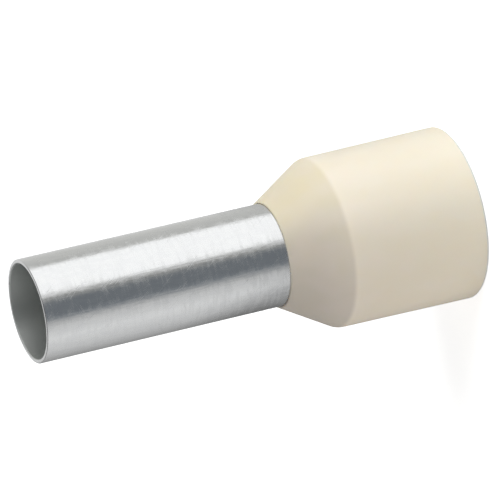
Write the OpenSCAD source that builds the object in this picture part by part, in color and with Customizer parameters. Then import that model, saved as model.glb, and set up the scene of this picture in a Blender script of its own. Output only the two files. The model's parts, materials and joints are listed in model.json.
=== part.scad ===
// Insulated wire ferrule: a thin plated tube, opened into a funnel at one end, held in a plastic collar.
//
// It stands on the mouth of its collar, at z = 0, with the bare end of the tube pointing up.
// Each piece is revolved from one outline. An outline is a list of sharp corners, each written as
// [radius, height, rounding], and rounded() gives every corner its true arc.

/* [Tube] */
// Bore that takes the stripped strands
bore_d = 4.5; // [3.6:0.1:5.4]
// Wall of the drawn tube
tube_wall = 0.2; // [0.15:0.01:0.3]
// Length of tube that stands bare of the collar
bare_length = 12.1; // [8:0.1:18]
// Rounding on the cut edges of the tube
cut_rounding = 0.05; // [0.02:0.01:0.07]
// Radius of the plastic edge that the tube wall is bent over
bend_radius = 0.5; // [0.2:0.05:0.8]
// How far the funnel's edge stops short of the socket wall
funnel_inset = 0.4; // [0.2:0.05:0.6]

/* [Collar] */
// Length from the mouth to the lip on the tube
collar_length = 9.4; // [7.5:0.1:12]
// Bore of the socket that takes the insulated wire
socket_d = 7.3; // [6:0.1:8.8]
// Wall of the socket at its shoulder, and of the cone
collar_wall = 0.42; // [0.3:0.02:0.6]
// Length of the cone, from the lip to the shoulder
cone_length = 2.6; // [2:0.1:3.6]
// Wall left at the lip, where the cone runs out on the tube
lip_wall = 0.07; // [0.05:0.01:0.12]
// Draft on the outside, which widens it towards the mouth, in degrees
draft = 0.6; // [0:0.1:1.5]
// Rounding of the shoulder
shoulder_rounding = 0.65; // [0.2:0.05:1]
// Rounding of the corner inside, between socket and funnel
socket_rounding = 0.3; // [0.1:0.05:0.5]
// Rounding of the mouth's outer edge
mouth_rounding = 0.1; // [0.05:0.01:0.12]
// Rounding of the mouth's inner edge, which leads the insulation in
lead_in = 0.14; // [0.05:0.01:0.17]

/* [Fit] */
// Gap between the tube and the collar that grips it
fit_gap = 0.01; // [0.005:0.005:0.03]

/* [Hidden] */
$fn = 144;

// A corner's wedge runs this far past the sides, and its arc crosses them by a hair, which leaves
// no sliver where arc and side meet.
overlap = 0.02;
hair = 0.0002;

total_height = collar_length + bare_length;

bore_r = bore_d / 2;
tube_r = bore_r + tube_wall;
neck_r = tube_r + fit_gap;
lip_r = neck_r + lip_wall;
socket_r = socket_d / 2;
shoulder_r = socket_r + collar_wall;

shoulder_z = collar_length - cone_length;
mouth_r = shoulder_r + shoulder_z * tan(draft);
cone_angle = atan2(shoulder_r - lip_r, cone_length);

// Height where a face that lies a depth inside the cone's outside reaches radius r.
function cone_z(r, depth = 0) = collar_length - (r - lip_r + depth / cos(cone_angle)) / tan(cone_angle);

// The funnel is the tube's own wall, laid on the inside of the cone.
funnel_back = collar_wall + fit_gap;
funnel_front = funnel_back + tube_wall;
funnel_edge_r = socket_r - funnel_inset;
funnel_edge_z = cone_z(funnel_edge_r, funnel_back);

tube_outline = [
    [bore_r, total_height, cut_rounding],
    [tube_r, total_height, cut_rounding],
    [tube_r, cone_z(tube_r, funnel_back), bend_radius + fit_gap],
    [funnel_edge_r, funnel_edge_z, cut_rounding],
    [funnel_edge_r - tube_wall * cos(cone_angle), funnel_edge_z - tube_wall * sin(cone_angle), cut_rounding],
    [bore_r, cone_z(bore_r, funnel_front), bend_radius + fit_gap + tube_wall],
];

collar_outline = [
    [neck_r, collar_length, 0],
    [lip_r, collar_length, lip_wall * 1.2],
    [shoulder_r, shoulder_z, shoulder_rounding],
    [mouth_r, 0, mouth_rounding],
    [socket_r, 0, lead_in],
    [socket_r, cone_z(socket_r, collar_wall), socket_rounding],
    [neck_r, cone_z(neck_r, collar_wall), bend_radius],
];

// Unit vector from a to b, a corner's place as a plain point, and a point moved on past its centre.
function towards(a, b) = (b - a) / norm(b - a);
function place(corner) = [corner[0], corner[1]];
function past(centre, point) = point + towards(centre, point) * overlap;

// What rounds one corner: the wedge from the arc's centre out past the corner, less the arc's disc.
module corner_wedge(before, at, after, radius) {
    u = towards(at, before);
    v = towards(at, after);
    half = acos(u * v) / 2;
    reach = radius / tan(half);
    centre = at + towards([0, 0], u + v) * radius / sin(half);
    difference() {
        polygon([centre, past(centre, at + v * reach), past(centre, at), past(centre, at + u * reach)]);
        translate(centre) circle(r = radius + hair);
    }
}

// Every rounded corner that turns the given way, 1 for an outside corner and -1 for an inside one.
module corner_wedges(outline, way) {
    n = len(outline);
    for (i = [0 : n - 1]) {
        before = place(outline[(i + n - 1) % n]);
        at = place(outline[i]);
        after = place(outline[(i + 1) % n]);
        turn = cross(after - at, at - before);
        if (outline[i][2] > 0 && turn * way > 0) corner_wedge(before, at, after, outline[i][2]);
    }
}

// The area inside an outline that runs clockwise, with its corners rounded.
module rounded(outline) {
    difference() {
        union() {
            polygon([for (corner = outline) place(corner)]);
            corner_wedges(outline, -1);
        }
        corner_wedges(outline, 1);
    }
}

// Tin-plated copper tube. Its hidden end is flared into a funnel that leads the strands in.
module tube() {
    color("silver") rotate_extrude() rounded(tube_outline);
}

// Moulded collar: a socket for the insulation, and a cone that closes on the tube.
module collar() {
    color([0.95, 0.91, 0.79]) rotate_extrude() rounded(collar_outline);
}

tube();
collar();
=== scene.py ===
# %% [markdown]
# # An insulated wire ferrule
#
# A ferrule is crimped over the stripped strands of a flexible wire, so that they go into a terminal
# as one neat pin. This one has two pieces: a bright tin-plated copper tube, and an ivory plastic
# collar that takes the wire's insulation. It stands on the collar's mouth, with the tube pointing up.
#
# The lesson goes from the frame to the studio, then to the finishes, and last to the two pieces.

# %% Open the frame
import json
import math

import bmesh
import bpy
from mathutils import Matrix, Vector


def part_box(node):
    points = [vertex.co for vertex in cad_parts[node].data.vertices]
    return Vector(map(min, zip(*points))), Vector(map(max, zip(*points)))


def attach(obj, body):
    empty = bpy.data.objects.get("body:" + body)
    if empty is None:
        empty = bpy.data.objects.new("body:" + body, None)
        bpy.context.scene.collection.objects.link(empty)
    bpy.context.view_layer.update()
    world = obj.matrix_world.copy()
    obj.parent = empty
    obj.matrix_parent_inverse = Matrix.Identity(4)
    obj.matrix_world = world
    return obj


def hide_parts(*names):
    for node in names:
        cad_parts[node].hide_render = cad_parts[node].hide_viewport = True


MM = 0.001

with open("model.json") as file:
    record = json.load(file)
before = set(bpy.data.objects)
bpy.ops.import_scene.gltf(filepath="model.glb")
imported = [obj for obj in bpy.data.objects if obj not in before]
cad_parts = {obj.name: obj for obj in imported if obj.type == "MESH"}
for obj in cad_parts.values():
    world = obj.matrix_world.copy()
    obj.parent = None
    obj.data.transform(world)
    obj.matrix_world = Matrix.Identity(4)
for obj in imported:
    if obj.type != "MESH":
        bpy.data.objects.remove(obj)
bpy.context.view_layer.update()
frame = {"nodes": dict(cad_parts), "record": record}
print("CAD nodes:", sorted(frame["nodes"]))

# %% [markdown]
# ## Sizes
#
# The overall sizes and the bores come from the engineering model, so that the looks can never drift
# away from it. What a box can't tell, such as how long the cone is, is named here in millimetres.

# %% Read the sizes
mounts = {mount["name"]: mount for mount in frame["record"]["mounts"]}
tube_low, tube_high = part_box("tube")
collar_low, collar_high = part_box("collar")

total_height = tube_high.z
lip_z = collar_high.z
mouth_r = collar_high.x
bore_r = mounts["wire_bore"]["dims"]["r_mm"] * MM
tube_r = mounts["tube_outside"]["dims"]["r_mm"] * MM
socket_r = mounts["insulation_socket"]["dims"]["r_mm"] * MM
print("bore", bore_r / MM, "tube", tube_r / MM, "socket", socket_r / MM, "mouth", round(mouth_r / MM, 2))

# %% Name the small sizes
cone_length = 2.6 * MM
collar_wall = 0.42 * MM
lip_wall = 0.07 * MM
fit_gap = 0.01 * MM
funnel_inset = 0.4 * MM
cut_rounding = 0.05 * MM
bend_radius = 0.5 * MM
shoulder_rounding = 0.65 * MM
socket_rounding = 0.3 * MM
mouth_rounding = 0.1 * MM
lead_in = 0.14 * MM

tube_wall = tube_r - bore_r
neck_r = tube_r + fit_gap
lip_r = neck_r + lip_wall
shoulder_r = socket_r + collar_wall
shoulder_z = lip_z - cone_length
cone_angle = math.atan2(shoulder_r - lip_r, cone_length)
print("the cone opens at", round(math.degrees(cone_angle), 1), "degrees to the axis")

# %% [markdown]
# ## The camera
#
# The ferrule is seen from the side, with its bare end turned 20 degrees towards us. A long lens keeps
# the tube's sides nearly parallel. The camera is rolled, so that the upright ferrule lies across the
# view with its bare end low on the left. Its three axes are worked out from two angles, which is
# plainer than three Euler angles that hide what they mean.

# %% Place the camera
elevation = math.radians(20.16)
roll = math.radians(13.165)
view_distance = 242.2 * MM
look_at = Vector((0.43, 0, 10.26)) * MM

back = Vector((0, -math.cos(elevation), math.sin(elevation)))
axis_in_view = Vector((0, -math.sin(elevation), -math.cos(elevation)))
across_view = back.cross(axis_in_view)
right = axis_in_view * math.cos(roll) - across_view * math.sin(roll)
up = axis_in_view * math.sin(roll) + across_view * math.cos(roll)
turned = Matrix((right, up, back)).transposed().to_4x4()

camera = bpy.data.objects.new("camera", bpy.data.cameras.new("camera"))
camera.data.sensor_width = 36
camera.data.lens = 374.8
camera.data.clip_start = 0.01
camera.data.clip_end = 20
camera.matrix_world = Matrix.Translation(look_at + back * view_distance) @ turned
bpy.context.scene.collection.objects.link(camera)
bpy.context.scene.camera = camera
print("camera stands", round(camera.matrix_world.translation.length, 3), "m from the ferrule's foot")

# %% [markdown]
# ## Colours as they are
#
# Blender's usual view, AgX, softens bright colours the way film does. A catalogue picture wants a
# colour to come out as it was written, so the plain Standard view is chosen.

# %% Choose the plain view
bpy.context.scene.view_settings.view_transform = "Standard"
print("view:", bpy.context.scene.view_settings.view_transform)

# %% [markdown]
# ## Helpers for node trees
#
# A material and a world are both trees of nodes. Clicking them together in the editor is one way,
# and a script is another that can be read and repeated. One helper adds a node and joins it up, so a
# line of this file stands for one node on the screen. Two more cover what comes up again and again:
# a sum of two numbers, and a soft step between two of them.

# %% Helpers for node trees
def add(tree, kind, inputs=(), **settings):
    """Adds a node, sets its properties, then sets or links its inputs."""
    node = tree.nodes.new(kind)
    for name, value in settings.items():
        setattr(node, name, value)
    for key, value in dict(inputs).items():
        if isinstance(value, bpy.types.NodeSocket):
            tree.links.new(value, node.inputs[key])
        else:
            node.inputs[key].default_value = value
    return node


def combine(tree, operation, first, second):
    """One number out of two."""
    return add(tree, "ShaderNodeMath", {0: first, 1: second}, operation=operation).outputs[0]


def fade(tree, value, start, end):
    """A mask that goes softly from 0 to 1 as a value goes from start to end."""
    step = {0: value, 1: start, 2: end}
    return add(tree, "ShaderNodeMapRange", step, interpolation_type="SMOOTHSTEP").outputs[0]


def blend_values(tree, mask, low, high):
    """A number that goes from low to high as a mask goes from 0 to 1."""
    return add(tree, "ShaderNodeMapRange", {0: mask, 3: low, 4: high}).outputs[0]


def blend_colours(tree, mask, low, high):
    """A colour that goes from low to high as a mask goes from 0 to 1."""
    return add(tree, "ShaderNodeMix", {0: mask, 6: low, 7: high}, data_type="RGBA").outputs[2]


def fill_ramp(node, stops):
    """Gives a colour ramp its stops, each written as (place, colour)."""
    ramp = node.color_ramp
    while len(ramp.elements) > 1:
        ramp.elements.remove(ramp.elements[-1])
    ramp.elements[0].position, ramp.elements[0].color = stops[0][0], (*stops[0][1], 1)
    for place, colour in stops[1:]:
        ramp.elements.new(place).color = (*colour, 1)


# %% [markdown]
# ## The studio
#
# Polished metal has hardly any colour of its own: it shows the room. A photographer puts soft white
# boxes and dark cards round such a part, and each of them becomes a stripe along the tube. Panels
# could be modelled one by one, but here the world is that ring of boxes and cards, which is easier
# to tune. A colour ramp runs once round the horizon, from the back of the scene, past the left, the
# front and the right, and to the back again. Overhead hangs a darker ceiling, which keeps the cone
# and the bore from looking flat. Only the camera sees something else: plain white paper.

# %% Build the world
PLAIN = (1.0, 1.0, 1.0)
COOL = (0.92, 1.0, 1.09)
WARM = (1.0, 1.0, 0.97)
# Each entry is a compass angle, where 0 is behind the camera and 90 is to its right, a grey, a tint.
STUDIO = [
    (-180, 0.72, PLAIN),
    (-173, 0.50, PLAIN),
    (-166, 0.28, PLAIN),
    (-150, 0.34, PLAIN),
    (-110, 0.61, PLAIN),
    (-72, 0.78, PLAIN),
    (-44, 0.61, PLAIN),
    (-36, 0.48, PLAIN),
    (-26, 0.22, COOL),
    (-19, 0.18, COOL),
    (6, 0.18, COOL),
    (17, 0.34, WARM),
    (30, 1.14, PLAIN),
    (93, 1.14, PLAIN),
    (101, 0.53, WARM),
    (145, 0.64, WARM),
    (164, 0.72, PLAIN),
    (180, 0.72, PLAIN),
]

world = bpy.data.worlds.new("studio")
world.use_nodes = True
tree = world.node_tree
tree.nodes.clear()
direction = add(tree, "ShaderNodeTexCoord").outputs["Generated"]
side = add(tree, "ShaderNodeSeparateXYZ", {0: direction}).outputs
compass = combine(tree, "ARCTAN2", side["X"], combine(tree, "MULTIPLY", side["Y"], -1.0))
turn = add(tree, "ShaderNodeMapRange", {0: compass, 1: -math.pi, 2: math.pi}).outputs[0]
ring = add(tree, "ShaderNodeValToRGB", {0: turn})
fill_ramp(ring, [((angle + 180) / 360, [grey * part for part in tint]) for angle, grey, tint in STUDIO])
ceiling = add(tree, "ShaderNodeMapRange", {0: side["Z"], 1: 0.35, 2: 0.8, 3: 1.0, 4: 0.3}).outputs[0]
room = add(tree, "ShaderNodeVectorMath", {0: ring.outputs[0], "Scale": ceiling}, operation="SCALE").outputs[0]
to_camera = add(tree, "ShaderNodeLightPath").outputs["Is Camera Ray"]
sky = add(tree, "ShaderNodeBackground", {0: blend_colours(tree, to_camera, room, (1, 1, 1, 1)), 1: 1.0})
add(tree, "ShaderNodeOutputWorld", {0: sky.outputs[0]})
bpy.context.scene.world = world
print("the ring has", len(STUDIO), "stops")

# %% [markdown]
# ## The floor
#
# The ferrule stands on a sheet of white paper. Lamps strong enough to turn the paper pure white would
# burn out the pale collar too, so the paper glows a little instead, for the camera alone, and still
# keeps the shadow. The tin has to mirror the studio and not the paper, so to a mirror ray the paper is
# clear, except for a painted shadow where the ferrule's own shadow would lie, which is why the tube
# darkens towards its foot on the shadow side.

# %% Lay the floor
floor_paper = bpy.data.materials.new("floor_paper")
floor_paper.use_nodes = True
tree = floor_paper.node_tree
tree.nodes.clear()
ray = add(tree, "ShaderNodeLightPath").outputs
paper = add(tree, "ShaderNodeBsdfDiffuse", {"Color": (0.9, 0.9, 0.9, 1)}).outputs[0]
glow = add(tree, "ShaderNodeEmission", {"Color": (1, 1, 1, 1), "Strength": 0.65}).outputs[0]
lit = add(tree, "ShaderNodeAddShader", {0: paper, 1: glow}).outputs[0]
seen = add(tree, "ShaderNodeMixShader", {0: ray["Is Camera Ray"], 1: paper, 2: lit}).outputs[0]

place = add(tree, "ShaderNodeTexCoord").outputs["Object"]
# Painted shadow: to mirror rays the paper darkens round the place where the ferrule's shadow would fall.
shadow_middle = (-10 * MM, 8 * MM, 0)
away = add(tree, "ShaderNodeVectorMath", {0: place, 1: shadow_middle}, operation="DISTANCE").outputs["Value"]
painted_shadow = add(tree, "ShaderNodeMapRange", {0: away, 1: 22 * MM, 2: 37 * MM, 3: 0.56, 4: 1.0}).outputs[0]
clear = add(tree, "ShaderNodeBsdfTransparent", {"Color": painted_shadow}).outputs[0]
surface = add(tree, "ShaderNodeMixShader", {0: ray["Is Glossy Ray"], 1: seen, 2: clear}).outputs[0]
add(tree, "ShaderNodeOutputMaterial", {"Surface": surface})

sheet = bmesh.new()
bmesh.ops.create_grid(sheet, x_segments=1, y_segments=1, size=3.0)
floor_mesh = bpy.data.meshes.new("floor")
sheet.to_mesh(floor_mesh)
sheet.free()
floor_mesh.materials.append(floor_paper)
floor = bpy.data.objects.new("floor", floor_mesh)
bpy.context.scene.collection.objects.link(floor)
print("the floor is", [round(length, 2) for length in floor.dimensions], "m")

# %% [markdown]
# ## The lamps
#
# The ring alone would light the plastic evenly. Two soft boxes shape it: a key from the right and
# above, and a low, long fill from the left that is a little pinker. Mirror rays pass them by, because
# the ring already gives the tin its boxes, and a second set would only cut its stripes up.

# %% Hang the lamps
def softbox(name, compass_deg, height_deg, width, height, power, colour):
    """An area lamp half a metre away that points at the ferrule's middle."""
    lamp = bpy.data.objects.new(name, bpy.data.lights.new(name, "AREA"))
    lamp.data.shape = "RECTANGLE"
    lamp.data.size = width
    lamp.data.size_y = height
    lamp.data.energy = power
    lamp.data.color = colour
    turn, lift = math.radians(compass_deg), math.radians(height_deg)
    away = Vector((math.sin(turn) * math.cos(lift), -math.cos(turn) * math.cos(lift), math.sin(lift)))
    lamp.rotation_mode = "QUATERNION"
    lamp.rotation_quaternion = away.to_track_quat("Z", "Y")
    lamp.location = away * 0.5 + Vector((0, 0, total_height / 2))
    lamp.visible_glossy = False
    bpy.context.scene.collection.objects.link(lamp)
    return lamp


key = softbox("key_light", 62, 33, 0.4, 0.3, 1.8, (0.975, 1.0, 1.0))
fill = softbox("fill_light", -78, 3, 0.4, 0.1, 0.72, (1.0, 0.935, 0.89))
for lamp in (key, fill):
    print(lamp.name, "at", [round(length, 2) for length in lamp.location], "m")

# %% [markdown]
# ## Finishes
#
# Neither finish is one flat value. Drawing leaves fine lines along the tube, the plating adds a
# mottle, and handling adds short scratches. Moulding leaves clouds and flow lines in the plastic.
# All of these are noise that is stretched one way or another and then cut at two levels. So one node
# group makes them all, and each material places it several times, each time with its own sizes. It
# reads a vector of Object coordinates, which are in metres, so its sizes are real sizes as well.

# %% Build the grain group
grain = bpy.data.node_groups.new("stretched_grain", "ShaderNodeTree")
grain.interface.new_socket(name="Vector", in_out="INPUT", socket_type="NodeSocketVector")
for name, start in (("Across", 0.0001), ("Along", 0.0001), ("Low", 0.3), ("High", 0.7)):
    grain.interface.new_socket(name=name, in_out="INPUT", socket_type="NodeSocketFloat").default_value = start
grain.interface.new_socket(name="Mask", in_out="OUTPUT", socket_type="NodeSocketFloat")

given = add(grain, "NodeGroupInput").outputs
across = combine(grain, "DIVIDE", 1.0, given["Across"])
along = combine(grain, "DIVIDE", 1.0, given["Along"])
per_metre = add(grain, "ShaderNodeCombineXYZ", {0: across, 1: across, 2: along}).outputs[0]
factors = {0: given["Vector"], 1: per_metre}
stretched = add(grain, "ShaderNodeVectorMath", factors, operation="MULTIPLY").outputs[0]
noise = add(grain, "ShaderNodeTexNoise", {"Vector": stretched, "Scale": 1.0, "Detail": 1.0, "Roughness": 0.5})
add(grain, "NodeGroupOutput", {0: fade(grain, noise.outputs[0], given["Low"], given["High"])})
print("the grain group has", len(grain.nodes), "nodes")


# %% Helpers for the grain
def add_grain(tree, vector, across_mm, along_mm, low, high):
    """Places the grain group in a material and returns its mask."""
    sizes = {"Vector": vector, "Across": across_mm * MM, "Along": along_mm * MM, "Low": low, "High": high}
    group = tree.nodes.new("ShaderNodeGroup")
    group.node_tree = grain
    for name, value in sizes.items():
        if isinstance(value, bpy.types.NodeSocket):
            tree.links.new(value, group.inputs[name])
        else:
            group.inputs[name].default_value = value
    return group.outputs["Mask"]


def lean(tree, vector, degrees, at_radius):
    """Twists space about the axis, so that lines along a round piece lean over by an angle."""
    z = add(tree, "ShaderNodeSeparateXYZ", {0: vector}).outputs["Z"]
    angle = combine(tree, "MULTIPLY", z, math.tan(math.radians(degrees)) / at_radius)
    twist = {"Vector": vector, "Angle": angle}
    return add(tree, "ShaderNodeVectorRotate", twist, rotation_type="Z_AXIS").outputs[0]


# %% [markdown]
# ### Tin plate
#
# Tin a few thousandths of a millimetre thick covers the drawn copper. It is soft and bright, with a
# satin haze. A single roughness would give stripes with edges as straight as a ruler. On real plate
# the haze changes from spot to spot, so the edges of the stripes fray. That takes four grains: a
# mottle from the plating, lines along the tube from drawing, streaks round it from the polishing, and
# scratches that lean both ways. They change the roughness most and the bump only a little, because a
# mirror doubles every slope. The bore was never polished, so a mask by radius makes it dull.

# %% Tin plate
tin = bpy.data.materials.new("tin_plate")
tin.use_nodes = True
tree = tin.node_tree
shader = tree.nodes["Principled BSDF"]
shader.inputs["Metallic"].default_value = 1

place = add(tree, "ShaderNodeTexCoord").outputs["Object"]
side = add(tree, "ShaderNodeSeparateXYZ", {0: place}).outputs
flat = add(tree, "ShaderNodeCombineXYZ", {0: side["X"], 1: side["Y"]}).outputs[0]
radius = add(tree, "ShaderNodeVectorMath", {0: flat}, operation="LENGTH").outputs["Value"]
inside = fade(tree, radius, bore_r + 0.05 * MM, bore_r + 0.02 * MM)

mottle = add_grain(tree, place, 0.22, 0.5, 0.35, 0.65)
draw_lines = add_grain(tree, place, 0.12, 3.0, 0.35, 0.65)
streaks = add_grain(tree, place, 0.9, 0.16, 0.42, 0.66)
right_scratches = add_grain(tree, lean(tree, place, 40, tube_r), 0.08, 1.2, 0.68, 0.76)
left_scratches = add_grain(tree, lean(tree, place, -65, tube_r), 0.07, 0.8, 0.70, 0.78)
scratches = combine(tree, "MAXIMUM", right_scratches, left_scratches)

bright = blend_colours(tree, mottle, (0.79, 0.80, 0.805, 1), (0.82, 0.83, 0.83, 1))
dull = (0.72, 0.74, 0.725, 1)
tree.links.new(blend_colours(tree, inside, bright, dull), shader.inputs["Base Color"])

haze = combine(tree, "ADD", blend_values(tree, mottle, 0.12, 0.17), blend_values(tree, streaks, 0.0, 0.11))
haze = combine(tree, "ADD", haze, blend_values(tree, scratches, 0.0, 0.12))
haze = combine(tree, "MAXIMUM", haze, blend_values(tree, inside, 0.0, 0.5))
tree.links.new(haze, shader.inputs["Roughness"])

height = combine(tree, "ADD", mottle, combine(tree, "MULTIPLY", streaks, 0.5))
height = combine(tree, "ADD", height, combine(tree, "MULTIPLY", draw_lines, 0.5))
height = combine(tree, "SUBTRACT", height, combine(tree, "MULTIPLY", scratches, 0.8))
bump = add(tree, "ShaderNodeBump", {"Strength": 1.0, "Distance": 0.001 * MM, "Height": height})
tree.links.new(bump.outputs[0], shader.inputs["Normal"])
print("tin plate:", len(tree.nodes), "nodes")

# %% [markdown]
# ### Ivory plastic
#
# The collar is moulded in ivory polypropylene, which is smooth, fairly glossy and a little milky, so
# it gets some subsurface scattering. Its colour isn't the same all over. Clouds and flow lines come
# from the moulding. The socket wall is lighter towards the mouth, which is painted bounce light from
# the paper, and darker towards the shoulder, which is painted shade. The cone lies on the flared
# metal, which takes its glow away, so it is darker than the socket wall with a clear edge at the
# shoulder; this is partly the metal under the thin plastic and partly painted shade. Across the cone,
# the side towards the key light is painted a lighter yellow and the far side a pinkish grey, which is
# painted light and shade. The edge of the mouth picks up a trace of grey. Each of these is one mask by
# height or by side, and the colours are blended one after the other.

# %% Ivory plastic
ivory = bpy.data.materials.new("ivory_plastic")
ivory.use_nodes = True
tree = ivory.node_tree
shader = tree.nodes["Principled BSDF"]
shader.inputs["Specular IOR Level"].default_value = 0.8
shader.inputs["Subsurface Weight"].default_value = 0.3
shader.inputs["Subsurface Radius"].default_value = (1.0, 0.75, 0.5)
shader.inputs["Subsurface Scale"].default_value = 0.3 * MM

place = add(tree, "ShaderNodeTexCoord").outputs["Object"]
side = add(tree, "ShaderNodeSeparateXYZ", {0: place}).outputs
clouds = add_grain(tree, place, 1.2, 2.0, 0.35, 0.65)
flow_lines = add_grain(tree, place, 0.25, 4.0, 0.35, 0.65)
pebble = add_grain(tree, place, 0.07, 0.07, 0.3, 0.7)

# Painted light and shade: the socket wall is lighter near the mouth, as if lit by bounce from the paper, and
# darker towards the shoulder.
painted_bounce_cream = blend_colours(tree, clouds, (0.88, 0.80, 0.65, 1), (0.88, 0.81, 0.675, 1))
painted_shade_cream = blend_colours(tree, clouds, (0.84, 0.76, 0.62, 1), (0.85, 0.77, 0.645, 1))
body = blend_colours(tree, fade(tree, side["Z"], 0.5 * MM, shoulder_z), painted_bounce_cream, painted_shade_cream)

# Painted light and shade: across the cone, the side towards the key light is a lighter yellow and the far
# side a darker pinkish grey.
wobble = blend_values(tree, add_grain(tree, place, 4.0, 4.0, 0.4, 0.6), -0.8 * MM, 0.8 * MM)
painted_light_side = fade(tree, combine(tree, "ADD", side["X"], wobble), -1.6 * MM, 2.6 * MM)
grey = blend_colours(tree, clouds, (0.585, 0.53, 0.45, 1), (0.61, 0.545, 0.475, 1))
painted_lit_yellow = blend_colours(tree, clouds, (0.70, 0.62, 0.44, 1), (0.70, 0.62, 0.47, 1))
cone_backed_and_shaded = blend_colours(tree, painted_light_side, grey, painted_lit_yellow)
# The cone is darker than the socket wall, partly for the metal under the thin plastic and partly as painted
# shade.
cone_on_metal_and_shaded = fade(tree, side["Z"], shoulder_z - 0.15 * MM, shoulder_z + 0.12 * MM)
closeness = blend_values(tree, fade(tree, side["Z"], shoulder_z, shoulder_z + 1.8 * MM), 0.74, 1.0)
body = blend_colours(tree, combine(tree, "MULTIPLY", cone_on_metal_and_shaded, closeness), body, cone_backed_and_shaded)

mouth_edge = fade(tree, side["Z"], 0.14 * MM, 0.07 * MM)
body = blend_colours(tree, mouth_edge, body, (0.76, 0.76, 0.73, 1))
tree.links.new(body, shader.inputs["Base Color"])
tree.links.new(blend_values(tree, flow_lines, 0.28, 0.36), shader.inputs["Roughness"])
bump = add(tree, "ShaderNodeBump", {"Strength": 1.0, "Distance": 0.0006 * MM, "Height": pebble})
tree.links.new(bump.outputs[0], shader.inputs["Normal"])
print("ivory plastic:", len(tree.nodes), "nodes")

# %% [markdown]
# ## Turning a piece
#
# Both pieces are round, so each is one outline turned about the axis. The outline starts as a flat
# face with sharp corners. Each corner is bevelled as a vertex, which gives it a true arc, and then
# the outline alone is spun. This is what a lathe tool or a mould maker's drawing does. A cylinder
# with loops cut into it would do as well, but the outline keeps every size in one short list.

# %% Helpers for turned pieces
def corner_reach(before, at, after, radius):
    """How far from a corner an arc of that radius starts."""
    half = (before - at).angle(after - at) / 2
    return radius / math.tan(half)


def turned_piece(name, outline, material, steps=256):
    """Spins an outline, whose corners are (radius, height, rounding), into a piece."""
    section = bmesh.new()
    corners = [section.verts.new((r, 0, z)) for r, z, _ in outline]
    section.faces.new(corners)
    reaches = []
    for i, (_, _, rounding) in enumerate(outline):
        before, at, after = corners[i - 1].co, corners[i].co, corners[(i + 1) % len(outline)].co
        reaches.append(corner_reach(before, at, after, rounding) if rounding else 0)
    for corner, reach in zip(corners, reaches):
        if reach:
            bmesh.ops.bevel(
                section, geom=[corner], offset=reach, offset_type="OFFSET", affect="VERTICES",
                segments=6, profile=0.5, material=-1,
            )
    bmesh.ops.delete(section, geom=section.faces[:], context="FACES_ONLY")
    bmesh.ops.spin(
        section, geom=section.verts[:] + section.edges[:], cent=(0, 0, 0), axis=(0, 0, 1), dvec=(0, 0, 0),
        angle=2 * math.pi, steps=steps, use_merge=True, use_duplicate=False,
    )
    bmesh.ops.remove_doubles(section, verts=section.verts[:], dist=1e-7)
    bmesh.ops.recalc_face_normals(section, faces=section.faces[:])
    mesh = bpy.data.meshes.new(name)
    section.to_mesh(mesh)
    section.free()
    mesh.materials.append(material)
    mesh.shade_smooth()
    piece = bpy.data.objects.new(name, mesh)
    bpy.context.scene.collection.objects.link(piece)
    return piece


def cone_z(r, depth=0):
    """Height at which a face that lies a depth inside the cone's outside reaches radius r."""
    return lip_z - (r - lip_r + depth / math.cos(cone_angle)) / math.tan(cone_angle)


# %% [markdown]
# ## The tube
#
# The real tube is cut from drawn copper, and its hidden end is opened over a cone-shaped tool. So the
# outline has the same wall everywhere: straight down from the bare end, round one bend, and out along
# the inside of the collar's cone. The wall bends round a true arc on both sides, whose radii differ by
# the wall. The cut edges are only just broken, which is enough for a thin bright line on the rim.

# %% Turn the tube
funnel_back = collar_wall + fit_gap
edge_r = socket_r - funnel_inset
edge_z = cone_z(edge_r, funnel_back)

tube = turned_piece("tinned_tube", [
    (bore_r, total_height, cut_rounding),
    (tube_r, total_height, cut_rounding),
    (tube_r, cone_z(tube_r, funnel_back), bend_radius + fit_gap),
    (edge_r, edge_z, cut_rounding),
    (edge_r - tube_wall * math.cos(cone_angle), edge_z - tube_wall * math.sin(cone_angle), cut_rounding),
    (bore_r, cone_z(bore_r, funnel_back + tube_wall), bend_radius + fit_gap + tube_wall),
], tin)
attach(tube, "root")
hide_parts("tube")
print("tube:", len(tube.data.polygons), "faces")

# %% [markdown]
# ## The collar
#
# The collar is one moulding. From the lip it runs down the cone, round the soft shoulder and down the
# socket wall, which widens a little towards the mouth so that it leaves the mould. Inside, the socket
# rises to a small corner and then follows the cone back to the neck that grips the tube. The lip is
# thin and nearly a full nose, so the plastic closes on the metal without a step.

# %% Turn the collar
collar = turned_piece("ivory_collar", [
    (neck_r, lip_z, 0),
    (lip_r, lip_z, 1.2 * lip_wall),
    (shoulder_r, shoulder_z, shoulder_rounding),
    (mouth_r, 0, mouth_rounding),
    (socket_r, 0, lead_in),
    (socket_r, cone_z(socket_r, collar_wall), socket_rounding),
    (neck_r, cone_z(neck_r, collar_wall), bend_radius),
], ivory)
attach(collar, "root")
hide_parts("collar")
print("collar:", len(collar.data.polygons), "faces")
